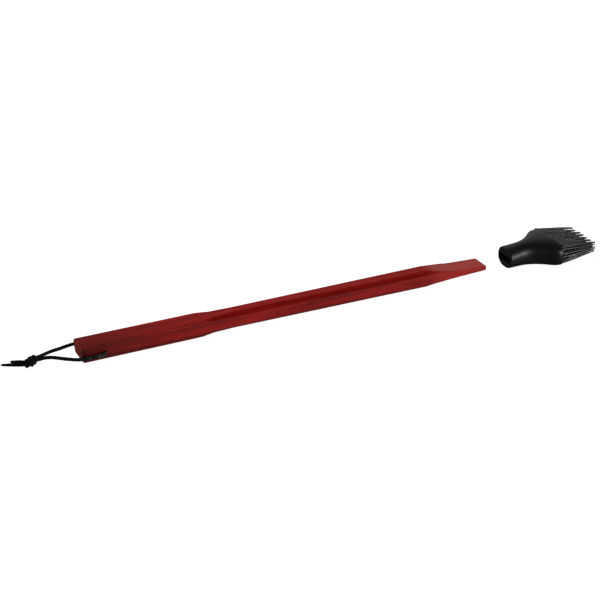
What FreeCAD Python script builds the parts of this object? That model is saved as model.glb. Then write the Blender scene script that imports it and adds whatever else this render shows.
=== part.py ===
import FreeCAD, Part
import math
import os

# Long-handled pastry brush: a hardwood handle with a hanging cord, and a moulded
# silicone head that pulls off the handle's tongue. Millimetres. +X runs from the
# butt to the bristles, +Z is up, and everything lies on z = 0. The head is drawn
# off the handle and in line with it. X is counted from the butt until build()
# moves the origin to the middle of the handle and head together.

Vec = FreeCAD.Vector
SAME_PLACE = 1e-4           # coordinates closer than this are the same

# Handle: X stations from the butt, and the section at each
HANDLE_LENGTH = 400.0
BUTT_WIDTH = 22.6
BUTT_THICKNESS = 14.5
GRIP_END_X = 104.0
GRIP_END_WIDTH = 20.5
GRIP_END_THICKNESS = 15.4
STOP_START_X = 111.0        # where the neck's chamfers start, in a short sloping stop
STOP_END_X = 122.0
NECK_START_X = 142.0
NECK_START_WIDTH = 17.0
NECK_START_THICKNESS = 16.0
SHOULDER_X = 337.0          # where the tongue begins
SHOULDER_WIDTH = 19.2
SHOULDER_THICKNESS = 16.6
TIP_WIDTH = 19.8
GRIP_EDGE_CUT = 0.9         # broken edge along the grip
STOP_CHAMFER = 3.5
NECK_CHAMFER = 3.9
BUTT_EDGE_CUT = 1.5         # on the end's upper and lower edges
BUTT_CORNER_CUT = 1.0       # on its two upright ones
TIP_EDGE_CUT = 0.9

# Tongue: X from the butt, and how much is cut off the top and off the underside there.
# It runs in steeply from the shoulder, and more so below. From the fourth place on it is
# an even wedge, alike above and below, and the head takes the last part of that.
TONGUE_CUTS = [
    (SHOULDER_X, 0.0, 0.0), (346.0, 1.4, 2.6), (355.0, 2.8, 3.8), (366.0, 4.5, 4.5),
    (HANDLE_LENGTH, 6.1, 6.1),
]

# Hanging hole, across the grip
HOLE_X = 19.5
HOLE_Z = 6.0
HOLE_DIAMETER = 4.2
HOLE_EDGE_CUT = 0.5
HOLE_FLARE = 1.5            # height of the cone that cuts the hole's edge

# Head: one silicone moulding, with its socket, neck and flared block
MOUTH_X = 426.0
HEAD_LENGTH = 49.0          # from the mouth to the face that the bristles grow from
MOUTH_WIDTH = 24.6
MOUTH_HEIGHT = 20.0
BLOCK_WIDTH = 56.0
BLOCK_HEIGHT = 24.4
NECK_LENGTH = 16.0          # straight neck, from the mouth to the flare
FLARE_END = 46.0
FLARE_INNER_RADIUS = 24.0
LONG_EDGE_RADIUS = 7.0
RIM_RADIUS = 1.2
SHORTEST_SIDE_EDGE = 0.1    # length along X of the shortest edge that is rounded as a long one

# Socket in the head: the shape of the tongue's end, with a clearance all round. It is
# at the tongue's own height, so the head slides straight on, and lower than the
# neck's middle, so the neck is thickest over it.
SOCKET_DEPTH = 24.0
SOCKET_CLEARANCE = 0.25
SOCKET_END_GAP = 0.5        # left beyond the tip when the head is pushed home
FITTED_MOUTH_X = HANDLE_LENGTH + SOCKET_END_GAP - SOCKET_DEPTH
LEAD_IN = 1.0

# Bristles: five rows, each row closing in on the middle one towards the tips
ROW_COUNT = 5
ROW_PITCH = 4.5
COLUMN_PITCH = 3.45
LONG_ROW_COUNT = 14         # the rows between have one bristle fewer, set in the gaps
ROW_CLOSING = 0.45
BRISTLE_LENGTH = 42.0
BRISTLE_ROOT_RADIUS = 0.9
BRISTLE_TIP_RADIUS = 0.55

# Hanging cord: one cord, through the hole, knotted with both its ends together
CORD_DIAMETER = 2.8
BORE_HALF = 5.0             # the straight middle stretch inside the hole
KNOT_CENTRE = Vec(-42.0, 2.6, 5.5)
KNOT_RADIUS = 5.4
ARC_SHARE = 0.45            # of the shorter run beside an arc

NEAR_ROUTE = [
    (HOLE_X, -BORE_HALF, HOLE_Z), (HOLE_X, -14.0, 5.9), (11.0, -13.6, 5.5), (3.0, -13.3, 5.3),
    (-4.0, -12.3, 5.3), (-10.6, -7.8, 5.2), (-16.4, -3.0, 5.1), (-21.8, 2.2, 5.0),
    (-28.0, 5.6, 4.6), (-34.0, 5.2, 4.2), (-39.0, 3.6, 4.2),
]
FAR_ROUTE = [
    (HOLE_X, BORE_HALF, HOLE_Z), (HOLE_X, 14.0, 6.2), (10.8, 13.7, 7.0), (2.5, 13.9, 7.8),
    (-5.5, 13.2, 7.4), (-13.0, 11.7, 7.0), (-20.2, 10.9, 6.8), (-26.4, 8.7, 7.0),
    (-32.0, 5.9, 7.2), (-38.0, 4.2, 6.9),
]
SHORT_TAIL_ROUTE = [(-44.0, 3.4, 6.2), (-48.3, 5.2, 5.7), (-52.8, 8.0, 5.0), (-57.0, 10.8, 4.3)]
LONG_TAIL_ROUTE = [
    (-44.0, 2.0, 3.6), (-49.0, 3.4, 3.2), (-54.2, 6.6, 2.7), (-59.4, 9.8, 2.3), (-64.2, 12.2, 2.2),
]


def blend(low, high, share):
    """The value a share of the way from low to high."""
    return low + (high - low) * share


def octagon(x, width, thickness, cut, z_middle):
    """The corners of a section across the handle at x: a rectangle with its corners cut at 45 degrees."""
    half_w = width / 2
    half_t = thickness / 2
    quarter = [(half_w, half_t - cut), (half_w - cut, half_t)]
    mirrored = [(-y, z) for y, z in reversed(quarter)]
    upper = quarter + mirrored
    lower = [(-y, -z) for y, z in upper]
    return [Vec(x, y, z_middle + z) for y, z in upper + lower]


def flat_face(corners):
    return Part.Face(Part.makePolygon(corners + corners[:1]))


def flat_sided(sections):
    """A solid through the sections, with one flat face between each side and the next section's."""
    faces = [flat_face(sections[0]), flat_face(sections[-1])]
    for near, far in zip(sections, sections[1:]):
        for i in range(len(near)):
            j = (i + 1) % len(near)
            faces.append(flat_face([near[i], near[j], far[j], far[i]]))
    return Part.makeSolid(Part.makeShell(faces))


def tongue_wedge(grow):
    """What the tongue's cuts leave of the bar, seen from the side, made thicker by grow."""
    end_x = HANDLE_LENGTH + SOCKET_END_GAP
    cuts = TONGUE_CUTS + [(end_x, TONGUE_CUTS[-1][1], TONGUE_CUTS[-1][2])]
    upper = [Vec(x, -BUTT_WIDTH, SHOULDER_THICKNESS - above + grow) for x, above, _ in cuts]
    lower = [Vec(x, -BUTT_WIDTH, below - grow) for x, _, below in reversed(cuts)]
    return flat_face(upper + lower).extrude(Vec(0, 2 * BUTT_WIDTH, 0))


def tongue_bar(length, grow):
    """The chamfered bar that the tongue is cut from, from the shoulder on, grown all round."""
    z_middle = SHOULDER_THICKNESS / 2
    thickness = SHOULDER_THICKNESS + 2 * grow
    end_width = blend(SHOULDER_WIDTH, TIP_WIDTH, length / (HANDLE_LENGTH - SHOULDER_X))
    ends = ((SHOULDER_X, SHOULDER_WIDTH), (SHOULDER_X + length, end_width))
    return flat_sided([
        octagon(x, width + 2 * grow, thickness, NECK_CHAMFER, z_middle) for x, width in ends])


def tongue():
    return tongue_bar(HANDLE_LENGTH - SHOULDER_X, 0).common(tongue_wedge(0))


def edges_at_x(shape, x):
    return [edge for edge in shape.Edges if all(abs(v.X - x) < SAME_PLACE for v in edge.Vertexes)]


def is_upright(edge):
    return abs(edge.Vertexes[0].Y - edge.Vertexes[-1].Y) < SAME_PLACE


def hanging_hole():
    """The hole across the grip, with a small chamfer where it meets each side."""
    side = blend(BUTT_WIDTH, GRIP_END_WIDTH, HOLE_X / GRIP_END_X) / 2
    radius = HOLE_DIAMETER / 2
    start = Vec(HOLE_X, -BUTT_WIDTH, HOLE_Z)
    hole = Part.makeCylinder(radius, 2 * BUTT_WIDTH, start, Vec(0, 1, 0))
    for sign in (-1, 1):
        mouth = Vec(HOLE_X, sign * (side - HOLE_EDGE_CUT), HOLE_Z)
        flare = Part.makeCone(radius, radius + HOLE_FLARE, HOLE_FLARE, mouth, Vec(0, sign, 0))
        hole = hole.fuse(flare)
    return hole


def handle():
    stations = [
        (0, BUTT_WIDTH, BUTT_THICKNESS, GRIP_EDGE_CUT),
        (GRIP_END_X, GRIP_END_WIDTH, GRIP_END_THICKNESS, GRIP_EDGE_CUT),
    ]
    for x, cut in ((STOP_START_X, GRIP_EDGE_CUT), (STOP_END_X, STOP_CHAMFER), (NECK_START_X, NECK_CHAMFER)):
        share = (x - GRIP_END_X) / (NECK_START_X - GRIP_END_X)
        width = blend(GRIP_END_WIDTH, NECK_START_WIDTH, share)
        thickness = blend(GRIP_END_THICKNESS, NECK_START_THICKNESS, share)
        stations.append((x, width, thickness, cut))
    stations.append((SHOULDER_X, SHOULDER_WIDTH, SHOULDER_THICKNESS, NECK_CHAMFER))
    grip_and_neck = flat_sided([
        octagon(x, width, thickness, cut, thickness / 2) for x, width, thickness, cut in stations])
    body = grip_and_neck.fuse(tongue()).removeSplitter()
    corners = [edge for edge in edges_at_x(body, 0) if is_upright(edge)]
    body = body.makeChamfer(BUTT_CORNER_CUT, corners)
    body = body.makeChamfer(BUTT_EDGE_CUT, [edge for edge in edges_at_x(body, 0) if not is_upright(edge)])
    body = body.makeChamfer(TIP_EDGE_CUT, edges_at_x(body, HANDLE_LENGTH))
    return body.cut(hanging_hole())


def socket_core():
    """The space that the tongue fills when the head is home, at the place where the head lies."""
    length = HANDLE_LENGTH + SOCKET_END_GAP - SHOULDER_X
    core = tongue_bar(length, SOCKET_CLEARANCE).common(tongue_wedge(SOCKET_CLEARANCE))
    keep = Part.makeBox(length, 2 * BUTT_WIDTH, 2 * BUTT_WIDTH,
                        Vec(FITTED_MOUTH_X - LEAD_IN, -BUTT_WIDTH, -BUTT_WIDTH))
    core = core.common(keep)
    core.translate(Vec(MOUTH_X - FITTED_MOUTH_X, 0, 0))
    return core


def flare_outline():
    """Half of the head seen from above: the neck, a hollow arc, a full arc and the block's side."""
    neck_half = MOUTH_WIDTH / 2
    block_half = BLOCK_WIDTH / 2
    run = FLARE_END - NECK_LENGTH
    rise = block_half - neck_half
    turn = 2 * math.atan2(rise, run)
    outer_radius = run / math.sin(turn) - FLARE_INNER_RADIUS
    start = Vec(MOUTH_X + NECK_LENGTH, neck_half, 0)
    end = Vec(MOUTH_X + FLARE_END, block_half, 0)

    def on_inner(angle):
        drop = FLARE_INNER_RADIUS * (1 - math.cos(angle))
        return start + Vec(FLARE_INNER_RADIUS * math.sin(angle), drop, 0)

    def on_outer(angle):
        drop = outer_radius * (1 - math.cos(angle))
        return end - Vec(outer_radius * math.sin(angle), drop, 0)

    return [
        Part.LineSegment(Vec(MOUTH_X, neck_half, 0), start),
        Part.Arc(start, on_inner(turn / 2), on_inner(turn)),
        Part.Arc(on_inner(turn), on_outer(turn / 2), end),
        Part.LineSegment(end, Vec(MOUTH_X + HEAD_LENGTH, block_half, 0)),
    ]


def head_plan():
    """The head's outline from above as a closed face on z = 0."""
    half = Part.Wire([curve.toShape() for curve in flare_outline()])
    other = half.mirror(Vec(0, 0, 0), Vec(0, 1, 0))
    ends = []
    for x, half_width in ((MOUTH_X, MOUTH_WIDTH / 2), (MOUTH_X + HEAD_LENGTH, BLOCK_WIDTH / 2)):
        ends.append(Part.makeLine(Vec(x, half_width, 0), Vec(x, -half_width, 0)))
    edges = Part.__sortEdges__(half.Edges + other.Edges + ends)
    return Part.Face(Part.Wire(edges))


def head_side():
    """The head's side view as a slab: a flat underside and a top that rises to the block."""
    profile = [(MOUTH_X, 0), (MOUTH_X + HEAD_LENGTH, 0), (MOUTH_X + HEAD_LENGTH, BLOCK_HEIGHT),
               (MOUTH_X, MOUTH_HEIGHT)]
    face = flat_face([Vec(x, -BLOCK_WIDTH, z) for x, z in profile])
    return face.extrude(Vec(0, 2 * BLOCK_WIDTH, 0))


def runs_along_side(edge):
    """True for the edges between the head's sides and its top or underside."""
    points = [edge.valueAt(edge.FirstParameter), edge.valueAt(edge.LastParameter)]
    across = abs(points[0].y - points[1].y)
    along = abs(points[0].x - points[1].x)
    return along > SHORTEST_SIDE_EDGE and across < along * 2


def head_body():
    block = head_plan().extrude(Vec(0, 0, BLOCK_HEIGHT)).common(head_side())
    block = block.makeFillet(LONG_EDGE_RADIUS, [edge for edge in block.Edges if runs_along_side(edge)])
    for x in (MOUTH_X, MOUTH_X + HEAD_LENGTH):
        block = block.makeFillet(RIM_RADIUS, edges_at_x(block, x))
    return block.cut(socket_core())


def bristle(y, z_offset):
    """One tapered bristle that leans in towards the middle row."""
    root = Vec(MOUTH_X + HEAD_LENGTH, y, BLOCK_HEIGHT / 2 + z_offset)
    tip = root + Vec(BRISTLE_LENGTH, 0, (ROW_CLOSING - 1) * z_offset)
    rings = [Part.Wire(Part.makeCircle(radius, centre, Vec(1, 0, 0)))
             for radius, centre in ((BRISTLE_ROOT_RADIUS, root), (BRISTLE_TIP_RADIUS, tip))]
    return Part.makeLoft(rings, True, True)


def bristle_row(index):
    """A row from side to side; every other row sits in the gaps of its neighbours."""
    count = LONG_ROW_COUNT - index % 2
    z_offset = (index - (ROW_COUNT - 1) / 2) * ROW_PITCH
    first = -(count - 1) / 2 * COLUMN_PITCH
    return Part.makeCompound([bristle(first + column * COLUMN_PITCH, z_offset) for column in range(count)])


def rounded_path(route):
    """Straight runs along the route, joined by tangent arcs; the arcs' radii come with it."""
    points = [Vec(*point) for point in route]
    edges = []
    radii = []
    start = points[0]
    for before, corner, after in zip(points, points[1:], points[2:]):
        along_in = (corner - before).normalize()
        along_out = (after - corner).normalize()
        reach = ARC_SHARE * min((corner - before).Length, (after - corner).Length)
        half_turn = along_in.getAngle(along_out) / 2
        radius = reach / math.tan(half_turn)
        inward = (along_out - along_in).normalize()
        entry = corner - along_in * reach
        leave = corner + along_out * reach
        middle = corner + inward * (radius / math.cos(half_turn) - radius)
        edges.append(Part.LineSegment(start, entry).toShape())
        edges.append(Part.Arc(entry, middle, leave).toShape())
        radii.append(radius)
        start = leave
    edges.append(Part.LineSegment(start, points[-1]).toShape())
    return Part.Wire(edges), radii


def cord(name, route):
    """A tube along the route; prints its length, its arcs' radii and how its volume compares."""
    path, radii = rounded_path(route)
    first_run = Vec(*route[1]) - Vec(*route[0])
    ring = Part.Wire(Part.makeCircle(CORD_DIAMETER / 2, Vec(*route[0]), first_run))
    tube = path.makePipeShell([ring], True, False)
    section = math.pi * CORD_DIAMETER ** 2 / 4
    ratio = tube.Volume / (section * path.Length)
    print(name, "length %.1f" % path.Length, "volume ratio %.4f" % ratio,
          "radii", " ".join("%.1f" % radius for radius in radii))
    return tube


def knot():
    return Part.makeSphere(KNOT_RADIUS, KNOT_CENTRE)


def cord_in_bore():
    start = Vec(HOLE_X, -BORE_HALF, HOLE_Z)
    return Part.makeCylinder(CORD_DIAMETER / 2, 2 * BORE_HALF, start, Vec(0, 1, 0))


def build():
    overall_length = MOUTH_X + HEAD_LENGTH + BRISTLE_LENGTH
    nodes = {"handle": handle(), "head_body": head_body()}
    for index in range(ROW_COUNT):
        nodes["bristle_row_%d" % (index + 1)] = bristle_row(index)
    nodes["cord_in_hole"] = cord_in_bore()
    nodes["cord_knot"] = knot()
    routes = {"cord_near_strand": NEAR_ROUTE, "cord_far_strand": FAR_ROUTE,
              "cord_short_tail": SHORT_TAIL_ROUTE, "cord_long_tail": LONG_TAIL_ROUTE}
    for name, route in routes.items():
        nodes[name] = cord(name, route).cut(nodes["cord_knot"])
    os.makedirs("parts", exist_ok=True)
    for name, shape in nodes.items():
        shape.translate(Vec(-overall_length / 2, 0, 0))
        shape.exportStep("parts/%s.step" % name)
        print(name, "solids", len(shape.Solids), "valid", shape.isValid(), "volume %.0f" % shape.Volume)


build()
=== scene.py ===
import math
import random

import bmesh
import bpy
import numpy as np
from mathutils import Matrix, Vector


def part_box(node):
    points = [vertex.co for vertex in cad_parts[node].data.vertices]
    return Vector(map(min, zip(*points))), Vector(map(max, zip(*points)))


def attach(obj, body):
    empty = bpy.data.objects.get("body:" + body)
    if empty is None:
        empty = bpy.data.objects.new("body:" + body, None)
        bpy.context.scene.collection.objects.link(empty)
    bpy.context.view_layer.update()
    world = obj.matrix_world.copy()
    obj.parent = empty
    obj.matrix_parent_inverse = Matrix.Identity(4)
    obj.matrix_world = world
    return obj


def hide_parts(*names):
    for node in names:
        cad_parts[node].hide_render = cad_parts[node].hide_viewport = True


# Looks for the long-handled pastry brush. Metres, in the CAD frame: +X runs from the
# handle's butt to the bristles, +Z is up, and everything lies on z = 0. A point given
# "from the butt" counts X from the handle's butt, as the CAD source does.

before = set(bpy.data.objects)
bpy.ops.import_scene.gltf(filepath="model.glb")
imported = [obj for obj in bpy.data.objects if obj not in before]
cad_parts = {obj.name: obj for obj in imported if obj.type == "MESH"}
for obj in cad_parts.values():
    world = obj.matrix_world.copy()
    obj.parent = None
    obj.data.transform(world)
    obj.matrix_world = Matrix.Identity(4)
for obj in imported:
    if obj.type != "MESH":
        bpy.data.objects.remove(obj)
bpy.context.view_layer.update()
BUTT_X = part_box("handle")[0].x
HANDLE_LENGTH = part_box("handle")[1].x - BUTT_X
MOUTH_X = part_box("head_body")[0].x
HEAD_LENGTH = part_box("head_body")[1].x - MOUTH_X

# Camera: where it looks from, and at what
VIEW_AZIMUTH = -25.607
VIEW_ELEVATION = 25.784
VIEW_ROLL = -0.225
VIEW_DISTANCE = 1.440
VIEW_TARGET = (BUTT_X + 0.2092, 0.0, 0.0109)
LENS_MM = 95.83
SENSOR_MM = 36.0
CLIP_END = 50.0

SEED = 7                    # of every random draw

# Hanging cord: four plies twisted together
CORD_DIAMETER = 0.0028
NEAR_LENGTH = 0.145         # of the half on the -Y side, from inside the hole to its cut end
FAR_LENGTH = 0.134
PLY_RADIUS = 0.00075
PLY_OFFSET = 0.00092
PLY_COUNT = 4
CORD_LAY = 0.0105           # length of cord in which a ply goes once round
PLY_STEP = 0.00035
PLY_SIDES = 10
PLY_END_STEPS = 3           # steps over which a ply's end closes in
PLY_SHIFT = 2.0             # from one ply's UV map to the next, so that no two look the same
ROUTE_RESOLUTION = 16
TAIL_THINNING = 0.0120      # length over which the long tail thins out
CUT_THINNING = 0.0010
THINNEST = 0.60             # share of the full thickness left at the end
THINNING_POWER = 0.7
SMALLEST_END = 0.2          # least share of its radius that a tube closes in to
FRAY_COUNT = 8
FRAY_POINTS = 6
FRAY_SIDES = 5
FRAY_LENGTH = 0.0003
FRAY_ROOT = 0.0008          # how far inside the cord's end a loose fibre starts
FRAY_RING = 0.18            # how far from the middle it may start, as a share of the diameter
FRAY_RADIUS = 0.00014
FRAY_SPREAD = 0.35
FRAY_SHIFT = 6.0

HOLE_X = 0.0195             # from the butt: where the cord goes through the grip
HOLE_Z = 0.0060

# The cord's route, in points from the butt: out of the hole, back past the butt, into
# the knot, and out of it again as a tail
NEAR_STRAND = [
    (0.0195, 0.0, 0.0060), (0.0195, -0.0050, 0.0060), (0.0195, -0.0140, 0.0059),
    (0.0110, -0.0136, 0.0055), (0.0030, -0.0133, 0.0053), (-0.0040, -0.0123, 0.0053),
    (-0.0106, -0.0078, 0.0052), (-0.0164, -0.0030, 0.0051), (-0.0218, 0.0022, 0.0050),
    (-0.0280, 0.0056, 0.0046), (-0.0338, 0.0050, 0.0044),
]
FAR_STRAND = [
    (0.0195, 0.0, 0.0060), (0.0195, 0.0050, 0.0060), (0.0195, 0.0140, 0.0062),
    (0.0108, 0.0137, 0.0070), (0.0025, 0.0139, 0.0078), (-0.0055, 0.0132, 0.0074),
    (-0.0130, 0.0117, 0.0070), (-0.0202, 0.0109, 0.0068), (-0.0264, 0.0084, 0.0069),
    (-0.0325, 0.0054, 0.0072),
]
SHORT_TAIL = [(-0.0488, 0.0052, 0.0057), (-0.0530, 0.0080, 0.0050), (-0.0570, 0.0108, 0.0043)]
LONG_TAIL = [
    (-0.0490, 0.0034, 0.0036), (-0.0542, 0.0064, 0.0034), (-0.0598, 0.0096, 0.0031),
    (-0.0652, 0.0122, 0.0029),
]

# Knot: both strands go along its core, turn back round it and go through it again
KNOT_CENTRE = Vector((-0.0414, 0.0028, 0.0053))
KNOT_TILT = math.radians(25)        # its axis drops towards the tails
KNOT_CORE_RADIUS = 0.0011
KNOT_RADIUS = 0.0032                # of the control points; the cord runs a little inside them
KNOT_BARREL = 0.0075                # half the length of the barrel that the turns lie on
KNOT_HALF_LENGTH = 0.0028
KNOT_PAIR_GAP = 0.0026
KNOT_TURN_START = math.radians(250)
KNOT_TURN_STEP = math.radians(-45)
KNOT_TURN_POINTS = 12
KNOT_CORE_HALF = 0.0030             # from the knot's middle to each end of its core
# Where a strand turns from the core to the outside, and back: the place on the core, how far
# the turn reaches, its steps round the axis, and its radius as a share of the knot's
KNOT_TURN_OUT = (0.0018, 0.0048, 1.6, 0.42)
KNOT_TURN_BACK = (-0.0014, -0.0044, 1.3, 0.45)


def camera():
    azimuth = math.radians(VIEW_AZIMUTH)
    elevation = math.radians(VIEW_ELEVATION)
    roll = math.radians(VIEW_ROLL)
    back = Vector((
        math.sin(azimuth) * math.cos(elevation),
        -math.cos(azimuth) * math.cos(elevation),
        math.sin(elevation),
    ))
    level = Vector((math.cos(azimuth), math.sin(azimuth), 0.0))
    upright = back.cross(level)
    right = level * math.cos(roll) + upright * math.sin(roll)
    up = upright * math.cos(roll) - level * math.sin(roll)
    data = bpy.data.cameras.new("camera")
    data.sensor_width = SENSOR_MM
    data.lens = LENS_MM
    data.clip_end = CLIP_END
    made = bpy.data.objects.new("camera", data)
    bpy.context.scene.collection.objects.link(made)
    turn = Matrix((right, up, back)).transposed().to_4x4()
    made.matrix_world = Matrix.Translation(Vector(VIEW_TARGET) + back * VIEW_DISTANCE) @ turn
    bpy.context.scene.camera = made


def from_butt(point):
    """The place of a point that is given from the butt."""
    return Vector((BUTT_X + point[0], point[1], point[2]))


def piece(name, mesh, body, slot, *nodes):
    """A piece that rides on the body and stands for the nodes; slot is not used."""
    made = bpy.data.objects.new(name, mesh)
    bpy.context.scene.collection.objects.link(made)
    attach(made, body)
    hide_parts(*nodes)
    return made


# ---- cord ----

def knot_point(along, angle, radius):
    """A point in the knot: along its axis towards the tails, and round it from the -Y side."""
    axis = Vector((-math.cos(KNOT_TILT), 0.0, -math.sin(KNOT_TILT)))
    over = Vector((-math.sin(KNOT_TILT), 0.0, math.cos(KNOT_TILT)))
    near = Vector((0.0, -1.0, 0.0))
    return KNOT_CENTRE + axis * along + (near * math.cos(angle) + over * math.sin(angle)) * radius


def knot_route(side):
    """One strand's way through the knot; side is -1 or 1, for the strand's place in the pair."""
    shift = side * KNOT_PAIR_GAP / 2
    core_angle = math.pi / 2 * side
    on_core, reach, steps, share = KNOT_TURN_OUT
    points = [
        knot_point(-KNOT_CORE_HALF, core_angle, KNOT_CORE_RADIUS),
        knot_point(on_core, core_angle, KNOT_CORE_RADIUS),
        knot_point(shift / 2 + reach, KNOT_TURN_START - KNOT_TURN_STEP * steps, KNOT_RADIUS * share),
    ]
    last = KNOT_TURN_POINTS - 1
    for index in range(KNOT_TURN_POINTS):
        along = shift + KNOT_HALF_LENGTH * (1 - 2 * index / last)
        radius = KNOT_RADIUS * math.sqrt(1 - (along / KNOT_BARREL) ** 2)
        points.append(knot_point(along, KNOT_TURN_START + index * KNOT_TURN_STEP, radius))
    end = KNOT_TURN_START + last * KNOT_TURN_STEP
    on_core, reach, steps, share = KNOT_TURN_BACK
    points += [
        knot_point(shift / 2 + reach, end + KNOT_TURN_STEP * steps, KNOT_RADIUS * share),
        knot_point(on_core, core_angle + math.pi / 2, KNOT_CORE_RADIUS),
        knot_point(KNOT_CORE_HALF, core_angle + math.pi / 2, KNOT_CORE_RADIUS),
    ]
    return points


def centreline(name, points):
    """Points along the NURBS spline that has these control points."""
    curve = bpy.data.curves.new(name + "_route", "CURVE")
    curve.dimensions = "3D"
    curve.resolution_u = ROUTE_RESOLUTION
    spline = curve.splines.new("NURBS")
    spline.points.add(len(points) - 1)
    for control, point in zip(spline.points, points):
        control.co = (*from_butt(point), 1.0)
    spline.order_u = 3
    spline.use_endpoint_u = True
    carrier = bpy.data.objects.new(name + "_route", curve)
    mesh = bpy.data.meshes.new_from_object(carrier)
    line = np.array([vertex.co for vertex in mesh.vertices])
    bpy.data.objects.remove(carrier)
    bpy.data.meshes.remove(mesh)
    bpy.data.curves.remove(curve)
    return line


def evenly(line, step):
    """The line again, with points a step apart, and how far along it each one is."""
    along = np.concatenate([[0.0], np.cumsum(np.linalg.norm(np.diff(line, axis=0), axis=1))])
    at = np.linspace(0.0, along[-1], int(along[-1] / step) + 1)
    return np.stack([np.interp(at, along, line[:, axis]) for axis in range(3)], axis=1), at


def side_vectors(line):
    """Two directions across the line at each point, carried along it without twisting."""
    tangents = np.gradient(line, axis=0)
    tangents /= np.linalg.norm(tangents, axis=1)[:, None]
    side = np.cross(tangents[0], (0.0, 0.0, 1.0))
    sides = []
    for tangent in tangents:
        side = side - tangent * (side @ tangent)
        side = side / np.linalg.norm(side)
        sides.append(side)
    sides = np.array(sides)
    return sides, np.cross(tangents, sides)


def add_tube(mesh, line, radii, sides, lay, shift):
    """A tube along the line; its UV map lay has millimetres along, and turns round plus shift."""
    across, over = side_vectors(line)
    rings = []
    for centre, radius, a, b in zip(line, radii, across, over):
        ring = []
        for k in range(sides):
            angle = 2 * math.pi * k / sides
            outward = a * math.cos(angle) + b * math.sin(angle)
            ring.append(mesh.verts.new(Vector(centre + outward * radius)))
        rings.append(ring)
    along = np.concatenate([[0.0], np.cumsum(np.linalg.norm(np.diff(line, axis=0), axis=1))])
    for i, (low, high) in enumerate(zip(rings, rings[1:])):
        for k in range(sides):
            n = (k + 1) % sides
            face = mesh.faces.new((low[k], low[n], high[n], high[k]))
            face.smooth = True
            for loop, u, v in zip(face.loops, (k, k + 1, k + 1, k), (i, i, i + 1, i + 1)):
                loop[lay].uv = (along[v] * 1000, u / sides + shift)
    for ring, at, turn in ((rings[0], 0, -1), (rings[-1], -1, 1)):
        face = mesh.faces.new(ring[::turn])
        face.smooth = True
        for loop in face.loops:
            loop[lay].uv = (along[at] * 1000, shift)


def rounded_ends(count, start_radius, end_radius, end_steps):
    """Radii along a tube that change evenly from one end to the other and close in at its end."""
    radii = np.linspace(start_radius, end_radius, count)
    for k in range(end_steps):
        share = (k + 1) / end_steps
        radii[-end_steps + k] *= math.sqrt(max(1.0 - share * share, SMALLEST_END ** 2))
    return radii


def twisted_cord(name, points, thin_end):
    """A twisted cord along the route, with a frayed end; it thins out over the length thin_end."""
    line, at = evenly(centreline(name, points), PLY_STEP)
    across, over = side_vectors(line)
    thinning = np.clip((at[-1] - at) / thin_end, 0.0, 1.0)[:, None]
    fullness = THINNEST + (1.0 - THINNEST) * thinning ** THINNING_POWER
    mesh = bmesh.new()
    lay = mesh.loops.layers.uv.new("lay")
    for ply in range(PLY_COUNT):
        angle = 2 * math.pi * (ply / PLY_COUNT - at / CORD_LAY)[:, None]
        offset = (across * np.cos(angle) + over * np.sin(angle)) * PLY_OFFSET * fullness
        stop = len(line) - ply      # each ply is cut one step shorter than the one before it
        radii = rounded_ends(stop, PLY_RADIUS, PLY_RADIUS, PLY_END_STEPS) * fullness[:stop, 0]
        add_tube(mesh, (line + offset)[:stop], radii, PLY_SIDES, lay, ply * PLY_SHIFT)
    fray(mesh, line[-1], line[-1] - line[-1 - PLY_END_STEPS], lay)
    mesh.normal_update()
    data = bpy.data.meshes.new(name)
    mesh.to_mesh(data)
    mesh.free()
    return data, line


def fray(mesh, end, direction, lay):
    """Loose fibres at a cut end of the cord."""
    heading = Vector(direction).normalized()
    side = heading.orthogonal().normalized()
    for index in range(FRAY_COUNT):
        turn = Matrix.Rotation(2 * math.pi * index / FRAY_COUNT, 3, heading)
        out = turn @ side
        away = out * CORD_DIAMETER * FRAY_RING * random.uniform(0.3, 1.0)
        start = Vector(end) - heading * FRAY_ROOT + away
        reach = FRAY_LENGTH * random.uniform(0.5, 1.0)
        bend = out * FRAY_SPREAD * random.uniform(0.2, 1.0)
        line = []
        for k in range(FRAY_POINTS):
            share = k / (FRAY_POINTS - 1)
            line.append(start + heading * (FRAY_ROOT + reach) * share + bend * reach * share ** 2)
        radii = rounded_ends(FRAY_POINTS, FRAY_RADIUS, FRAY_RADIUS / 2, 2)
        add_tube(mesh, np.array(line), radii, FRAY_SIDES, lay, FRAY_SHIFT)


def hanging_cord():
    """The cord as its two halves, which meet inside the hole; both run on through the knot."""
    strands = (
        ("cord_near", NEAR_STRAND, -1, LONG_TAIL, NEAR_LENGTH, TAIL_THINNING,
         ("cord_near_strand", "cord_long_tail", "cord_in_hole", "cord_knot")),
        ("cord_far", FAR_STRAND, 1, SHORT_TAIL, FAR_LENGTH, CUT_THINNING,
         ("cord_far_strand", "cord_short_tail")),
    )
    made = []
    for name, strand, side, tail, length, thin_end, nodes in strands:
        points = strand + [tuple(point) for point in knot_route(side)] + tail
        mesh, line = twisted_cord(name, points, thin_end)
        cord = piece(name, mesh, "handle", "cord", *nodes)
        made.append(cord)
    return made


random.seed(SEED)
camera()
cords = hanging_cord()

# ---- materials ----

def new_material(name):
    material = bpy.data.materials.new(name)
    material.use_nodes = True
    return material, material.node_tree, material.node_tree.nodes["Principled BSDF"]


def add_node(tree, kind, inputs=(), **settings):
    """A new node; inputs are its sockets' names or numbers with a value or a socket to link from."""
    node = tree.nodes.new(kind)
    for name, value in settings.items():
        setattr(node, name, value)
    for socket, value in dict(inputs).items():
        if isinstance(value, bpy.types.NodeSocket):
            tree.links.new(value, node.inputs[socket])
        else:
            node.inputs[socket].default_value = value
    return node


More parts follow.
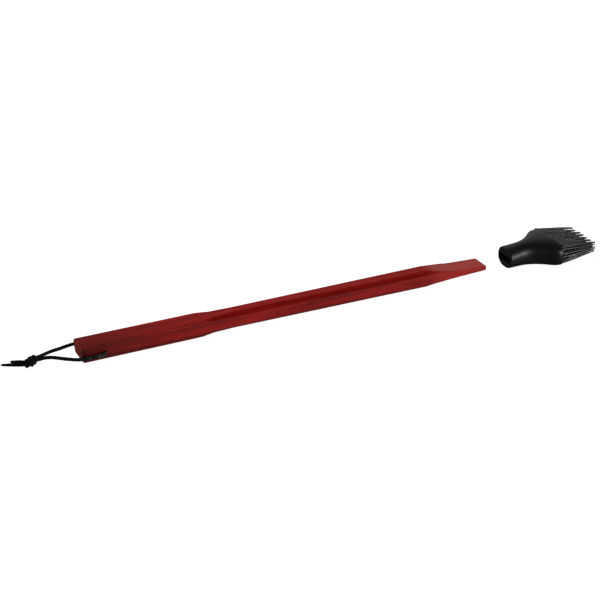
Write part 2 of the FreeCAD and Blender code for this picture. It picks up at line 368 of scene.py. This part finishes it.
def ramp(tree, factor, stops):
    """A colour ramp; stops are (place, colour), and a colour may be one grey value."""
    node = add_node(tree, "ShaderNodeValToRGB", {"Fac": factor})
    elements = node.color_ramp.elements
    while len(elements) < len(stops):
        elements.new(0.5)
    for element, (place, colour) in zip(elements, stops):
        element.position = place
        rgb = (colour, colour, colour) if isinstance(colour, float) else colour
        element.color = (*rgb, 1.0)
    return node.outputs["Color"]


def mixed(tree, factor, low, high, blend="MIX"):
    node = add_node(tree, "ShaderNodeMix", data_type="RGBA", blend_type=blend)
    for socket, value in ((node.inputs[0], factor), (node.inputs[6], low), (node.inputs[7], high)):
        if isinstance(value, bpy.types.NodeSocket):
            tree.links.new(value, socket)
        elif isinstance(value, float):
            socket.default_value = value
        else:
            socket.default_value = (*value, 1.0)
    return node.outputs[2]


def object_place(tree):
    return add_node(tree, "ShaderNodeTexCoord").outputs["Object"]


def scaled(tree, place, scale):
    """The place, counted in cells of 1 / scale along each axis."""
    return add_node(tree, "ShaderNodeVectorMath", {0: place, 1: scale}, operation="MULTIPLY").outputs[0]


def components(tree, vector):
    """The vector's outputs X, Y and Z."""
    return add_node(tree, "ShaderNodeSeparateXYZ", {0: vector}).outputs


def product(tree, first, second):
    return add_node(tree, "ShaderNodeMath", {0: first, 1: second}, operation="MULTIPLY").outputs[0]


def noise(tree, place, scale, detail=3.0, roughness=0.5, distortion=0.0):
    """Noise whose cells are 1 / scale of the place's unit along each axis."""
    return add_node(tree, "ShaderNodeTexNoise", {
        "Vector": scaled(tree, place, scale), "Scale": 1.0, "Detail": detail, "Roughness": roughness,
        "Distortion": distortion}).outputs["Fac"]


def bump(tree, height, strength, distance, below=None):
    inputs = {"Height": height, "Strength": strength, "Distance": distance}
    if below is not None:
        inputs["Normal"] = below
    return add_node(tree, "ShaderNodeBump", inputs).outputs["Normal"]


def mapped(tree, value, low=0.0, high=1.0, start=0.0, stop=1.0):
    """From low to high as the value goes from start to stop."""
    return add_node(tree, "ShaderNodeMapRange", {
        "Value": value, "From Min": start, "From Max": stop, "To Min": low, "To Max": high,
    }).outputs["Result"]


# Stain: its colours from the dark streaks to the bright ones, and how bright it is painted, by
# share of the handle's length from the butt: painted shade towards the butt, painted light on the tongue
STREAK_COLOURS = [
    (0.30, (0.170, 0.0020, 0.0011)), (0.50, (0.280, 0.0038, 0.0019)), (0.72, (0.350, 0.0068, 0.0036)),
]
PAINTED_LIGHT_ALONG = [(0.00, 0.42), (0.08, 0.58), (0.20, 0.95), (0.84, 0.98), (0.87, 1.22)]

# How far the wood's patterns darken the stain
RINGS_SHARE = 0.26
FIBRES_SHARE = 0.42
MOTTLE_SHARE = 0.36
PORES_SHARE = 0.50
RING_CENTRE = (0.0, 5.5, 3.0)       # of the growth rings, in cells, to one side of the handle
PORE_TINT = (0.25, 0.2, 0.2)

# Painted shade along the underside: up to what height, and how dark
LOW_SHADE_TO = 0.0042       # height up to which the wood is painted darker: painted shade along the underside
LOW_SHADE = 0.50
# Painted shade on the butt's near upper corner: its middle, reach, core, strength and colour
SHADE_SPOT = (-0.0004, -0.0110, 0.0104)  # from the butt: the middle of a painted shade on the near upper corner
SHADE_SPOT_REACH = 0.0055
SHADE_SPOT_CORE = 0.001
SHADE_SPOT_SHARE = 0.75
SHADE_SPOT_COLOUR = (0.016, 0.0016, 0.0012)
WORN_SHARE = 0.30           # how far the edges' wear may show
WORN_COLOUR = (0.250, 0.026, 0.016)
# Painted sheen on the tongue's top and underside: where it begins, how strong, and its colour
SHEEN_ALONG = (0.840, 0.875)       # shares of the handle's length between which the painted sheen begins
SHEEN_SHARE = 0.45          # how strongly the painted sheen pales the tongue's top and underside
SHEEN_COLOUR = (0.400, 0.082, 0.070)
END_GRAIN_COLOURS = [(0.2, (0.060, 0.005, 0.004)), (0.8, (0.130, 0.021, 0.018))]
END_GRAIN_SHARE = 0.8


def wood_material():
    """Hardwood stained red: long streaks, growth rings, fine open pores, end grain and worn edges, with
    painted shade towards the butt, along the underside and on the butt's near corner, and painted light
    and sheen on the tongue.
    """
    material, tree, shader = new_material("stained_wood")
    place = object_place(tree)
    streaks = noise(tree, place, (14.0, 210.0, 210.0), 3.0, 0.55, 0.4)
    fibres = noise(tree, place, (110.0, 2600.0, 2600.0), 4.0, 0.6)
    mottle = noise(tree, place, (90.0, 150.0, 150.0), 3.0, 0.6)
    pores = noise(tree, place, (260.0, 4300.0, 4300.0), 2.0, 0.5)
    from_centre = add_node(tree, "ShaderNodeVectorMath", {
        0: scaled(tree, place, (5.0, 190.0, 190.0)), 1: RING_CENTRE}).outputs[0]
    rings = add_node(tree, "ShaderNodeTexWave", {
        "Vector": from_centre, "Scale": 1.0, "Distortion": 3.2, "Detail": 2.0, "Detail Scale": 0.8,
    }, wave_type="RINGS", rings_direction="X").outputs["Fac"]
    tone = ramp(tree, streaks, STREAK_COLOURS)
    pore_depth = ramp(tree, pores, [(0.28, 0.0), (0.36, 1.0)])
    for share, pattern in (
            (RINGS_SHARE, ramp(tree, rings, [(0.2, 0.42), (0.8, 1.0)])),
            (FIBRES_SHARE, ramp(tree, fibres, [(0.32, 0.45), (0.62, 1.0)])),
            (MOTTLE_SHARE, ramp(tree, mottle, [(0.35, 0.60), (0.70, 1.0)])),
            (PORES_SHARE, mixed(tree, pore_depth, PORE_TINT, (1.0, 1.0, 1.0)))):
        tone = mixed(tree, share, tone, pattern, "MULTIPLY")
    along = mapped(tree, components(tree, place)["X"], start=BUTT_X, stop=BUTT_X + HANDLE_LENGTH)
    # painted shade towards the butt and painted light on the tongue
    tone = mixed(tree, 1.0, tone, ramp(tree, along, PAINTED_LIGHT_ALONG), "MULTIPLY")
    # painted shade along the underside, near the floor
    height = mapped(tree, components(tree, place)["Z"], stop=LOW_SHADE_TO)
    tone = mixed(tree, 1.0, tone, ramp(tree, height, [(0.3, LOW_SHADE), (1.0, 1.0)]), "MULTIPLY")
    # painted shade on the butt's near upper corner
    to_spot = add_node(tree, "ShaderNodeVectorMath", {
        0: place, 1: from_butt(SHADE_SPOT)}, operation="DISTANCE").outputs["Value"]
    spot = mapped(tree, to_spot, high=SHADE_SPOT_SHARE, start=SHADE_SPOT_REACH, stop=SHADE_SPOT_CORE)
    tone = mixed(tree, spot, tone, SHADE_SPOT_COLOUR)
    edge = add_node(tree, "ShaderNodeAttribute", attribute_name="edge").outputs["Fac"]
    worn = product(tree, edge, mapped(tree, mottle, high=WORN_SHARE))
    tone = mixed(tree, worn, tone, WORN_COLOUR)
    facing = components(tree, add_node(tree, "ShaderNodeNewGeometry").outputs["True Normal"])
    flatness = add_node(tree, "ShaderNodeMath", {0: facing["Z"]}, operation="ABSOLUTE").outputs[0]
    # painted sheen on the tongue's top and underside
    painted_sheen = product(
        tree, ramp(tree, along, [(SHEEN_ALONG[0], 0.0), (SHEEN_ALONG[1], SHEEN_SHARE)]),
        ramp(tree, flatness, [(0.60, 0.25), (0.92, 1.0)]))
    tone = mixed(tree, painted_sheen, tone, SHEEN_COLOUR)
    end_grain = mapped(tree, facing["X"], high=END_GRAIN_SHARE, start=-0.35, stop=-0.80)
    tone = mixed(tree, end_grain, tone, ramp(tree, rings, END_GRAIN_COLOURS))
    tree.links.new(tone, shader.inputs["Base Color"])
    tree.links.new(mapped(tree, fibres, 0.42, 0.58), shader.inputs["Roughness"])
    shader.inputs["Specular IOR Level"].default_value = 0.13
    relief = bump(tree, pore_depth, 0.35, 0.00008)
    relief = bump(tree, fibres, 0.30, 0.00012, relief)
    relief = bump(tree, streaks, 0.25, 0.00060, relief)
    tree.links.new(relief, shader.inputs["Normal"])
    return material


SILICONE_SHADES = (0.75, 1.7, 3.0)   # of its dark places, its pale ones and its specks


def silicone_material(name, colour, low_roughness, high_roughness, gloss):
    """Moulded silicone: nearly black, dull, with a fine pebble and faint paler bloom."""
    material, tree, shader = new_material(name)
    place = object_place(tree)
    bloom = noise(tree, place, (190.0, 190.0, 190.0), 5.0, 0.6)
    pebble = noise(tree, place, (3300.0, 3300.0, 3300.0), 2.0, 0.5)
    specks = noise(tree, place, (1500.0, 1500.0, 1500.0), 3.0, 0.7)
    dark, pale, speck = [tuple(channel * share for channel in colour) for share in SILICONE_SHADES]
    tone = ramp(tree, bloom, [(0.30, dark), (0.52, colour), (0.80, pale)])
    tone = mixed(tree, ramp(tree, specks, [(0.66, 0.0), (0.76, 0.55)]), tone, speck)
    tree.links.new(tone, shader.inputs["Base Color"])
    tree.links.new(mapped(tree, bloom, low_roughness, high_roughness), shader.inputs["Roughness"])
    shader.inputs["Specular IOR Level"].default_value = gloss
    relief = bump(tree, pebble, 0.16, 0.00010)
    relief = bump(tree, bloom, 0.12, 0.00060, relief)
    tree.links.new(relief, shader.inputs["Normal"])
    return material


DUST_FROM = -0.004          # from the butt: where the cord's dust begins, and where it is thickest
DUST_TO = 0.016
LEAST_DUST = 0.05
DUST_COLOUR = (0.110, 0.145, 0.128)


def cord_material():
    """Waxed black twine: fine fibres along each ply, and grey-green dust, most of it near the hole."""
    material, tree, shader = new_material("waxed_twine")
    place = object_place(tree)
    lay = add_node(tree, "ShaderNodeUVMap", uv_map="lay").outputs["UV"]
    fibres = noise(tree, lay, (0.9, 16.0, 1.0), 3.0, 0.6)
    dust = noise(tree, place, (900.0, 900.0, 900.0), 3.0, 0.7)
    tone = ramp(tree, fibres, [
        (0.30, (0.0006, 0.0007, 0.0006)), (0.60, (0.0016, 0.0018, 0.0017)),
        (0.85, (0.0070, 0.0080, 0.0074))])
    dusty = mapped(
        tree, components(tree, place)["X"], LEAST_DUST, 1.0, BUTT_X + DUST_FROM, BUTT_X + DUST_TO)
    specks = product(tree, dusty, ramp(tree, dust, [(0.53, 0.0), (0.58, 1.0)]))
    tone = mixed(tree, specks, tone, DUST_COLOUR)
    tree.links.new(tone, shader.inputs["Base Color"])
    tree.links.new(mapped(tree, fibres, 0.46, 0.66), shader.inputs["Roughness"])
    shader.inputs["Specular IOR Level"].default_value = 0.22
    tree.links.new(bump(tree, fibres, 0.6, 0.00015), shader.inputs["Normal"])
    return material


WOOD = wood_material()
SILICONE = silicone_material("silicone", (0.0036, 0.0035, 0.0038), 0.38, 0.48, 0.60)
BRISTLE_SILICONE = silicone_material("bristle_silicone", (0.0095, 0.0093, 0.0097), 0.28, 0.38, 1.0)
TWINE = cord_material()
for cord in cords:
    cord.data.materials.append(TWINE)

# ---- handle ----

# From the butt: place, width, thickness, chamfer and the rounding of the chamfer's edges
HANDLE_STATIONS = [
    (0.0000, 0.0226, 0.01450, 0.0009, 0.0014), (0.0520, 0.02155, 0.01495, 0.0009, 0.0014),
    (0.1040, 0.0205, 0.01540, 0.0009, 0.0014), (0.1110, 0.0199, 0.01551, 0.0010, 0.0012),
    (0.1220, 0.0188, 0.01568, 0.0035, 0.0008), (0.1420, 0.0170, 0.01600, 0.0039, 0.0008),
    (0.2070, 0.01773, 0.01620, 0.0039, 0.0008), (0.2720, 0.01847, 0.01640, 0.0039, 0.0008),
    (0.3364, 0.0192, 0.0166, 0.0039, 0.0008),
]
BUTT_PLACES = (0.0, 0.0001, 0.0003, 0.0006, 0.0010, 0.0014, 0.0019)
BUTT_ROUNDING = 0.0019      # of the end's upper and lower edges
CORNER_ROUNDING = 0.0013    # of its upright edges
BUTT_LEAN = 0.0013          # how far the end's top stands out beyond its bottom
SHOULDER_X = 0.3370
SHOULDER_WIDTH = 0.0192
SHOULDER_THICKNESS = 0.0166
TIP_WIDTH = 0.0198
TIP_ROUNDING = 0.0013
TIP_PLACES = (0.0, 0.0004, 0.0009, 0.0013)
NECK_CHAMFER = 0.0039
TONGUE_EDGE_CUT = 0.0004
TONGUE_EDGE_ROUNDING = 0.0006
# From the butt: place, and how much is cut off the top and the underside
TONGUE_CUTS = [
    (SHOULDER_X, 0.0, 0.0), (0.3460, 0.0014, 0.0026), (0.3550, 0.0028, 0.0038),
    (0.3660, 0.0045, 0.0045), (HANDLE_LENGTH, 0.0061, 0.0061),
]
TONGUE_PLACES = (0.3376, 0.3415, 0.3460, 0.3505, 0.3550, 0.3600, 0.3645, 0.3675, 0.3720, 0.3850)
CORNER_STEPS = 4
FLAT_MARGIN = 0.0009        # width of the worn band beside each edge
MOST_ROUNDING = 1.6         # largest radius of a chamfer's edges, against the chamfer's cut
MOST_SIDE_BAND = 0.3        # widest band on a side, against the side's height
MOST_CHAMFER_BAND = 0.35    # widest band on a chamfer, against the chamfer's width
HOLE_RADIUS = 0.0021
HOLE_ROUNDING = 0.0007
HOLE_ROUNDING_STEPS = 5
HOLE_SIDES = 40
CUTTER_OVERSHOOT = 0.002    # how far the hole's cutter stands out of the grip's sides


def quarter_ring(half_width, height, cut, rounding):
    """A section's chamfered corner from the side to the top, as (y, z, how worn), with rounded edges."""
    radius = min(rounding, cut * MOST_ROUNDING)
    reach = radius * math.tan(math.pi / 8)
    chamfer = cut * math.sqrt(2) - 2 * reach
    margin = min(FLAT_MARGIN, MOST_SIDE_BAND * (height - cut))
    inset = min(FLAT_MARGIN, MOST_CHAMFER_BAND * chamfer) / math.sqrt(2)
    chamfer_wear = 0.0 if chamfer > 2 * FLAT_MARGIN else 1.0
    low_arc = []
    high_arc = []
    for k in range(CORNER_STEPS + 1):
        angle = math.pi / 4 * k / CORNER_STEPS
        low_arc.append((half_width - radius + radius * math.cos(angle),
                        height - cut - reach + radius * math.sin(angle), 1.0))
        high_arc.append((half_width - cut - reach + radius * math.cos(angle + math.pi / 4),
                         height - radius + radius * math.sin(angle + math.pi / 4), 1.0))
    across, up, _ = low_arc[-1]
    far_across, far_up, _ = high_arc[0]
    points = [(half_width, height - cut - reach - margin, 0.0)] + low_arc
    points.append((across - inset, up + inset, chamfer_wear))
    points.append((far_across + inset, far_up - inset, chamfer_wear))
    points += high_arc
    points.append((half_width - cut - reach - margin, height, 0.0))
    return points


def handle_ring(width, above, below, cut_above, cut_below, rounding):
    """A section across the handle as (y, z, how worn), from heights above and below its middle."""
    ring = []
    for side, height, cut in ((1, above, cut_above), (-1, below, cut_below)):
        quarter = quarter_ring(width / 2, height, cut, rounding)
        whole = quarter + [(-y, z, worn) for y, z, worn in reversed(quarter)]
        ring += [(side * y, side * z, worn) for y, z, worn in whole]
    return ring


def end_inset(place, rounding):
    """How far a rounded end's edge lies inside the full section, at a place from the end."""
    if place >= rounding:
        return 0.0
    return rounding - math.sqrt(rounding ** 2 - (rounding - place) ** 2)


def tongue_cuts(place):
    """What is cut off the top and the underside at a place on the tongue."""
    places = [cut[0] for cut in TONGUE_CUTS]
    return [float(np.interp(place, places, [cut[side] for cut in TONGUE_CUTS])) for side in (1, 2)]


def handle_sections():
    """(place, ring, height of its middle) for every section from the butt to the tongue's tip."""
    sections = []
    _, width, thickness, cut, rounding = HANDLE_STATIONS[0]
    for place in BUTT_PLACES:
        half = thickness / 2 - end_inset(place, BUTT_ROUNDING)
        narrower = width - 2 * end_inset(place, CORNER_ROUNDING)
        sections.append((place, handle_ring(narrower, half, half, cut, cut, rounding), thickness / 2))
    for place, width, thickness, cut, rounding in HANDLE_STATIONS[1:]:
        half = thickness / 2
        sections.append((place, handle_ring(width, half, half, cut, cut, rounding), half))
    half = SHOULDER_THICKNESS / 2
    for place in list(TONGUE_PLACES) + [HANDLE_LENGTH - step for step in reversed(TIP_PLACES)]:
        share = (place - SHOULDER_X) / (HANDLE_LENGTH - SHOULDER_X)
        inset = end_inset(HANDLE_LENGTH - place, TIP_ROUNDING)
        width = SHOULDER_WIDTH + (TIP_WIDTH - SHOULDER_WIDTH) * share - 2 * inset
        off_top, off_bottom = tongue_cuts(place)
        cut_top = max(NECK_CHAMFER - off_top, TONGUE_EDGE_CUT)
        cut_bottom = max(NECK_CHAMFER - off_bottom, TONGUE_EDGE_CUT)
        ring = handle_ring(
            width, half - off_top - inset, half - off_bottom - inset, cut_top, cut_bottom,
            TONGUE_EDGE_ROUNDING)
        sections.append((place, ring, half))
    return sections


def lofted(name, rings):
    """A closed mesh through rings of points with equal counts; a point may carry how worn it is."""
    mesh = bmesh.new()
    edge = mesh.verts.layers.float.new("edge")
    made = []
    for ring in rings:
        verts = []
        for point in ring:
            vert = mesh.verts.new(point[:3])
            vert[edge] = point[3] if len(point) > 3 else 0.0
            verts.append(vert)
        made.append(verts)
    for low, high in zip(made, made[1:]):
        for k in range(len(low)):
            n = (k + 1) % len(low)
            mesh.faces.new((low[k], low[n], high[n], high[k]))
    mesh.faces.new(made[0][::-1])
    mesh.faces.new(made[-1])
    bmesh.ops.recalc_face_normals(mesh, faces=mesh.faces)
    for face in mesh.faces:
        face.smooth = True
    data = bpy.data.meshes.new(name)
    mesh.to_mesh(data)
    mesh.free()
    return data


def hole_cutter():
    """The hanging hole as a solid, rounded outwards where it meets the grip's two sides."""
    butt = HANDLE_STATIONS[0]
    grip_end = HANDLE_STATIONS[2]
    half_width = (butt[1] + (grip_end[1] - butt[1]) * HOLE_X / grip_end[0]) / 2
    profile = [(0.0, HOLE_RADIUS)]
    for k in range(HOLE_ROUNDING_STEPS + 1):
        angle = math.pi / 2 * k / HOLE_ROUNDING_STEPS
        profile.append((half_width - HOLE_ROUNDING * (1 - math.sin(angle)),
                        HOLE_RADIUS + HOLE_ROUNDING * (1 - math.cos(angle))))
    profile.append((half_width + CUTTER_OVERSHOOT, HOLE_RADIUS + HOLE_ROUNDING))
    whole = [(-y, radius) for y, radius in reversed(profile[1:])] + profile
    rings = []
    for y, radius in whole:
        ring = []
        for k in range(HOLE_SIDES):
            angle = 2 * math.pi * k / HOLE_SIDES
            point = (HOLE_X + radius * math.cos(angle), y, HOLE_Z + radius * math.sin(angle))
            ring.append(tuple(from_butt(point)))
        rings.append(ring)
    return bpy.data.objects.new("hole_cutter", lofted("hole_cutter", rings))


def apply_modifiers(target):
    """Gives the object, as its own mesh, what its modifiers make of it."""
    graph = bpy.context.evaluated_depsgraph_get()
    mesh = bpy.data.meshes.new_from_object(target.evaluated_get(graph))
    target.modifiers.clear()
    target.data = mesh


def wooden_handle():
    rings = []
    for place, ring, middle in handle_sections():
        lean = BUTT_LEAN / (2 * middle) if place <= BUTT_PLACES[-1] else 0.0
        points = []
        for y, z, worn in ring:
            height = middle + z
            points.append((*from_butt((place - lean * height, y, height)), worn))
        rings.append(points)
    made = piece("handle_wood", lofted("handle_wood", rings), "handle", "wood", "handle")
    cutter = hole_cutter()
    bpy.context.scene.collection.objects.link(cutter)
    drill = made.modifiers.new("hole", "BOOLEAN")
    drill.object = cutter
    drill.solver = "EXACT"
    flats = made.modifiers.new("flats", "WEIGHTED_NORMAL")
    flats.keep_sharp = True
    apply_modifiers(made)
    bpy.data.objects.remove(cutter)
    made.data.materials.append(WOOD)


# ---- head ----

# From the mouth: place, half width, height, and the squareness of the upper and lower half
HEAD_STATIONS = [
    (0.0000, 0.0123, 0.0200, 2.3, 2.3), (0.0088, 0.0116, 0.0208, 2.3, 2.4),
    (0.0176, 0.0112, 0.0217, 2.4, 2.6), (0.0265, 0.0141, 0.0227, 2.5, 2.9),
    (0.0353, 0.0203, 0.0237, 2.6, 3.2), (0.0431, 0.0269, 0.0243, 2.8, 3.6),
    (0.0490, 0.0280, 0.0244, 2.9, 3.9),
]
HEAD_SIDES = 160
HEAD_RINGS = 70
LIP_ROUNDING = 0.0011
LIP_INNER_ROUNDING = 0.0008
LIP_INNER_SQUARENESS = 4.2
LIP_STEPS = 7
LIP_INNER_STEPS = 6
RIM_ROUNDING = 0.0017
RIM_STEPS = 6
SOCKET_HALF_WIDTH = 0.0101
SOCKET_MOUTH_HALF = 0.00356
SOCKET_END_HALF = 0.00245
SOCKET_DEPTH = 0.0240
SOCKET_MIDDLE = 0.0083
SOCKET_SQUARENESS = 14.0
SOCKET_STEPS = 12


def smooth_between(stations, place):
    """The stations' values at a place, on a smooth curve through them."""
    places = [station[0] for station in stations]
    values = np.array([station[1:] for station in stations])
    slopes = np.gradient(values, places, axis=0)
    i = min(max(int(np.searchsorted(places, place)) - 1, 0), len(stations) - 2)
    gap = places[i + 1] - places[i]
    t = (place - places[i]) / gap
    start = (2 * t ** 3 - 3 * t ** 2 + 1) * values[i] + (t ** 3 - 2 * t ** 2 + t) * gap * slopes[i]
    return start + (3 * t ** 2 - 2 * t ** 3) * values[i + 1] + (t ** 3 - t ** 2) * gap * slopes[i + 1]


def oval(place, half_width, half_height, middle, upper, lower, angles):
    """A ring across the head at these angles round its middle; upper and lower say how square it is."""
    ring = []
    for angle in angles:
        squareness = upper if math.sin(angle) >= 0 else lower
        across = abs(math.cos(angle) / half_width) ** squareness
        upright = abs(math.sin(angle) / half_height) ** squareness
        reach = (across + upright) ** (-1 / squareness)
        ring.append((MOUTH_X + place, reach * math.cos(angle), middle + reach * math.sin(angle)))
    return ring


def head_rings():
    """The head's rings from its rim along the outside to the lip, and on into the socket."""
    rings = []
    angles = [2 * math.pi * k / HEAD_SIDES for k in range(HEAD_SIDES)]

    def outer(place, inset):
        half_width, height, upper, lower = smooth_between(HEAD_STATIONS, place)
        half_height = height / 2
        rings.append(oval(
            place, half_width - inset, half_height - inset, half_height, upper, lower, angles))

    for k in range(RIM_STEPS):
        angle = math.pi / 2 * k / RIM_STEPS
        outer(HEAD_LENGTH - RIM_ROUNDING * (1 - math.cos(angle)), RIM_ROUNDING * (1 - math.sin(angle)))
    start = HEAD_LENGTH - RIM_ROUNDING
    for k in range(HEAD_RINGS + 1):
        outer(start + (LIP_ROUNDING - start) * k / HEAD_RINGS, 0.0)
    for k in range(1, LIP_STEPS + 1):
        angle = math.pi / 2 * k / LIP_STEPS
        outer(LIP_ROUNDING * (1 - math.sin(angle)), LIP_ROUNDING * (1 - math.cos(angle)))

    # The socket's middle is lower than the lip's, so its rings take the angles at which the
    # lip's points lie round it
    socket_angles = [math.atan2(z - SOCKET_MIDDLE, y) for _, y, z in rings[-1]]

    def inner(place, half_width, half_height, squareness):
        rings.append(oval(
            place, half_width, half_height, SOCKET_MIDDLE, squareness, squareness, socket_angles))

    for k in range(LIP_INNER_STEPS + 1):
        angle = math.pi / 2 * k / LIP_INNER_STEPS
        grow = LIP_INNER_ROUNDING * (1 - math.sin(angle))
        place = LIP_INNER_ROUNDING * (1 - math.cos(angle))
        squarer = (SOCKET_SQUARENESS - LIP_INNER_SQUARENESS) * k / LIP_INNER_STEPS
        inner(place, SOCKET_HALF_WIDTH + grow / 2, SOCKET_MOUTH_HALF + grow,
              LIP_INNER_SQUARENESS + squarer)
    for k in range(1, SOCKET_STEPS + 1):
        share = k / SOCKET_STEPS
        place = LIP_INNER_ROUNDING + (SOCKET_DEPTH - LIP_INNER_ROUNDING) * share
        half_height = SOCKET_MOUTH_HALF + (SOCKET_END_HALF - SOCKET_MOUTH_HALF) * share
        inner(place, SOCKET_HALF_WIDTH, half_height, SOCKET_SQUARENESS)
    return rings


def silicone_head():
    mesh = lofted("head_silicone", head_rings())
    made = piece("head_silicone", mesh, "head", "silicone", "head_body")
    made.data.materials.append(SILICONE)


# ---- bristles ----

ROW_COUNT = 5
ROW_PITCH = 0.0045
COLUMN_PITCH = 0.00345
LONG_ROW_COUNT = 14
ROW_CLOSING = 0.45          # the rows' spread at the tips against that at the roots
BLOCK_MIDDLE = 0.0122
BRISTLE_LENGTH = 0.0428
BRISTLE_ROOT_RADIUS = 0.00102
BRISTLE_TIP_RADIUS = 0.00058
BRISTLE_SIDES = 10
BRISTLE_STEPS = 16
BRISTLE_FOOT = 0.0006       # the moulded flare where a bristle leaves the block
BRISTLE_FOOT_GROWTH = 0.0003
BRISTLE_SHORTER = 0.0030    # the most that a bristle falls short of the longest
BRISTLE_SWAY = 0.0006
BRISTLE_CLINGING = 0.0007   # how far neighbours lean together in pairs at their tips
BRISTLE_WAVE = 0.0003
BRISTLE_SAG = 0.0004
SIDE_CLOSING = 0.94         # the tips' spread from side to side against the roots'
BRISTLE_BURIED = 0.0006     # how far its root lies inside the block
# The round tip: places beyond the last point and radii there, as shares of the tip's radius
BRISTLE_TIP = ((0.5, 0.87), (0.85, 0.52), (0.98, 0.2))


def bristle(mesh, root, tip_height, lean, lay):
    """One moulded bristle, slightly bent in a way of its own, with a flared foot and a round tip."""
    length = BRISTLE_LENGTH - BRISTLE_TIP_RADIUS - random.uniform(0.0, BRISTLE_SHORTER)
    sway = root[1] * (SIDE_CLOSING - 1) + lean + random.uniform(-1.0, 1.0) * BRISTLE_SWAY
    sag = random.uniform(0.3, 1.0) * BRISTLE_SAG
    wave = random.uniform(-1.0, 1.0) * BRISTLE_WAVE
    line = []
    radii = []
    for k in range(BRISTLE_STEPS + 1):
        share = k / BRISTLE_STEPS
        along = length * share
        y = root[1] + sway * share ** 2 + wave * math.sin(math.pi * 2 * share)
        rise = (tip_height - root[2]) * share
        z = root[2] + rise - sag * share ** 2 + wave * 0.5 * math.sin(math.pi * share)
        line.append((root[0] + along, y, z))
        radius = BRISTLE_ROOT_RADIUS + (BRISTLE_TIP_RADIUS - BRISTLE_ROOT_RADIUS) * share ** 2
        radii.append(radius + BRISTLE_FOOT_GROWTH * math.exp(-along / BRISTLE_FOOT))
    tip = line[-1]
    for step, shrink in BRISTLE_TIP:
        line.append((tip[0] + BRISTLE_TIP_RADIUS * step, tip[1], tip[2]))
        radii.append(BRISTLE_TIP_RADIUS * shrink)
    add_tube(mesh, np.array(line), radii, BRISTLE_SIDES, lay, 0.0)


def bristle_rows():
    face_x = MOUTH_X + HEAD_LENGTH
    for index in range(ROW_COUNT):
        count = LONG_ROW_COUNT - index % 2
        offset = (index - (ROW_COUNT - 1) / 2) * ROW_PITCH
        mesh = bmesh.new()
        lay = mesh.loops.layers.uv.new("lay")
        for column in range(count):
            y = (column - (count - 1) / 2) * COLUMN_PITCH
            root = (face_x - BRISTLE_BURIED, y, BLOCK_MIDDLE + offset)
            lean = BRISTLE_CLINGING if (column + index) % 2 == 0 else -BRISTLE_CLINGING
            bristle(mesh, root, BLOCK_MIDDLE + offset * ROW_CLOSING, lean, lay)
        data = bpy.data.meshes.new("bristles_%d" % (index + 1))
        mesh.to_mesh(data)
        mesh.free()
        made = piece(data.name, data, "head", "silicone_bristle", "bristle_row_%d" % (index + 1))
        made.data.materials.append(BRISTLE_SILICONE)


wooden_handle()
silicone_head()
bristle_rows()

# ---- floor and light ----

FLOOR_HALF = 9.0
FLOOR_Z = -0.0002
FLOOR_GREY = (0.25, 0.25, 0.25, 1.0)
FLOOR_GLOW = 0.96
# Brightness of the surroundings, by height of the direction from straight down to straight up
SURROUNDINGS = [
    (0.0, 0.03), (0.49, 0.03), (0.50, 0.55), (0.65, 0.60), (0.72, 0.26), (0.80, 0.14), (1.0, 0.05),
]
FRONT_SHARE = 0.18          # brightness of the room's -Y side against its +Y side
FRONT_TO = -0.2             # Y of the directions in which the front ends and the back begins
BACK_FROM = 0.6
# Lights: name, place, width, power, and whether gloss shows it
LIGHTS = [
    ("key", (1.10, -1.90, 0.42), 1.1, 23.0, True),
    ("fill", (-1.00, 0.90, 1.30), 1.2, 42.0, False),
]


def floor():
    """A plain white floor, which lights the object from below and takes only a faint shadow."""
    mesh = bpy.data.meshes.new("floor")
    corners = [(-FLOOR_HALF, -FLOOR_HALF), (FLOOR_HALF, -FLOOR_HALF), (FLOOR_HALF, FLOOR_HALF),
               (-FLOOR_HALF, FLOOR_HALF)]
    mesh.from_pydata([(x, y, FLOOR_Z) for x, y in corners], [], [(0, 1, 2, 3)])
    made = bpy.data.objects.new("floor", mesh)
    bpy.context.scene.collection.objects.link(made)
    made.visible_glossy = False
    made.visible_shadow = False
    material, _, shader = new_material("floor")
    shader.inputs["Base Color"].default_value = FLOOR_GREY
    shader.inputs["Roughness"].default_value = 0.9
    shader.inputs["Specular IOR Level"].default_value = 0.0
    shader.inputs["Emission Color"].default_value = (1.0, 1.0, 1.0, 1.0)
    shader.inputs["Emission Strength"].default_value = FLOOR_GLOW
    mesh.materials.append(material)


def area_light(name, place, size, power, seen_in_gloss):
    """A round light that points at the object."""
    data = bpy.data.lights.new(name, "AREA")
    data.shape = "DISK"
    data.size = size
    data.energy = power
    made = bpy.data.objects.new(name, data)
    bpy.context.scene.collection.objects.link(made)
    made.location = place
    made.rotation_mode = "QUATERNION"
    made.rotation_quaternion = (-Vector(place)).to_track_quat("-Z", "Y")
    made.visible_glossy = seen_in_gloss


def surroundings():
    """A white room, bright round the horizon and brightest on the +Y side, behind the object."""
    world = bpy.data.worlds.new("studio")
    world.use_nodes = True
    tree = world.node_tree
    direction = components(tree, add_node(tree, "ShaderNodeTexCoord").outputs["Generated"])
    level = mapped(tree, direction["Z"], start=-1.0)
    behind = mapped(tree, direction["Y"], low=FRONT_SHARE, start=FRONT_TO, stop=BACK_FROM)
    background = tree.nodes["Background"]
    tree.links.new(ramp(tree, level, SURROUNDINGS), background.inputs["Color"])
    tree.links.new(behind, background.inputs["Strength"])
    bpy.context.scene.world = world


def studio():
    floor()
    surroundings()
    for light in LIGHTS:
        area_light(*light)
    bpy.context.scene.view_settings.view_transform = "Standard"


studio()
